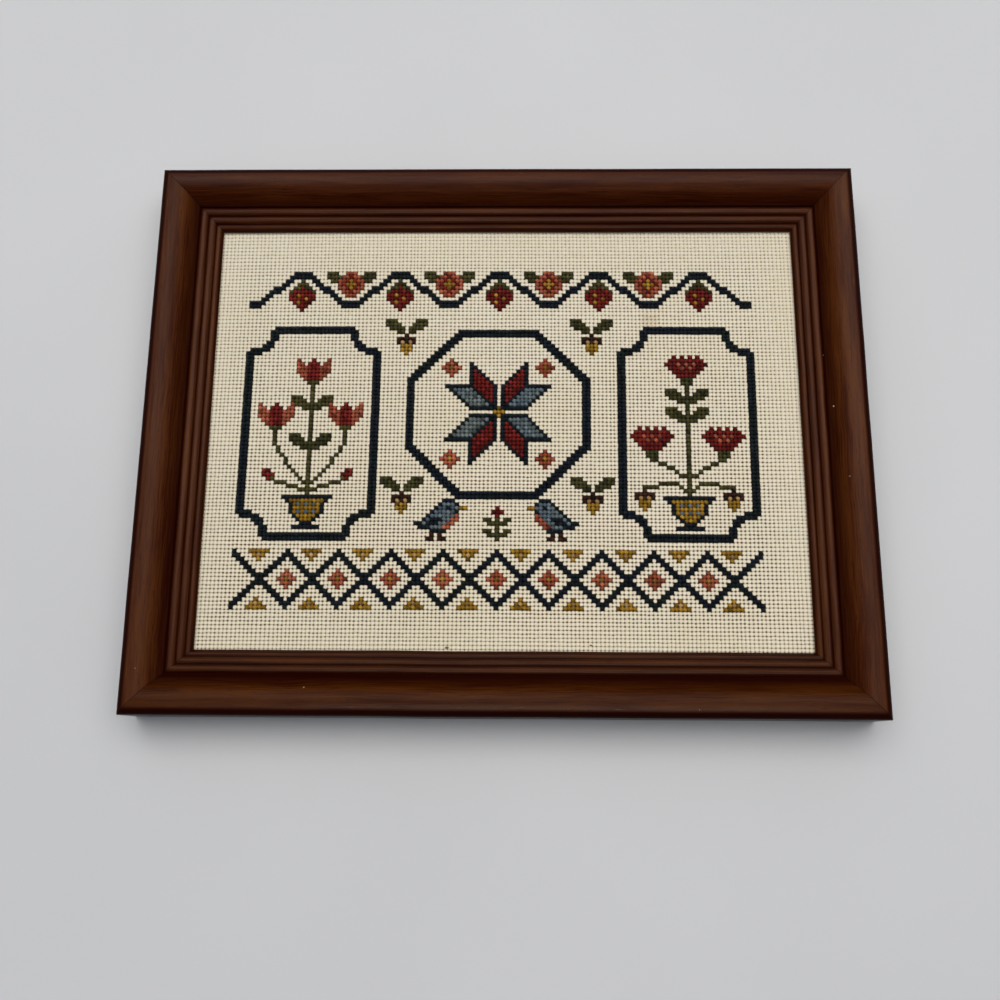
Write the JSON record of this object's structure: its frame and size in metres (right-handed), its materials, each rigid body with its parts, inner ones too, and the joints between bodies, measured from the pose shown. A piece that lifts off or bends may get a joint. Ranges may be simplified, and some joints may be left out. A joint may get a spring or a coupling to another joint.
{
  "type": "framed cross stitch sampler",
  "caption": "Counted cross stitch sampler stretched flat in a mitred, reeded dark wood picture frame.",
  "frame": {"origin": "middle of the frame's back, on the surface that it lies on", "axes": "+X to the right of the picture, +Y towards its top, +Z out of its face"},
  "size_m": [0.2338, 0.183, 0.019],
  "materials": {
    "stained_wood": "reddish brown stain under a satin lacquer",
    "cotton_cloth": "cream counted-thread cotton with coloured cross stitches",
    "hardboard": "bare pressed-fibre board"
  },
  "bodies": {
    "root": {"rail_top": "stained_wood", "rail_bottom": "stained_wood", "rail_left": "stained_wood", "rail_right": "stained_wood", "cloth": "cotton_cloth", "backing_board": "hardboard"}
  },
  "joints": []
}
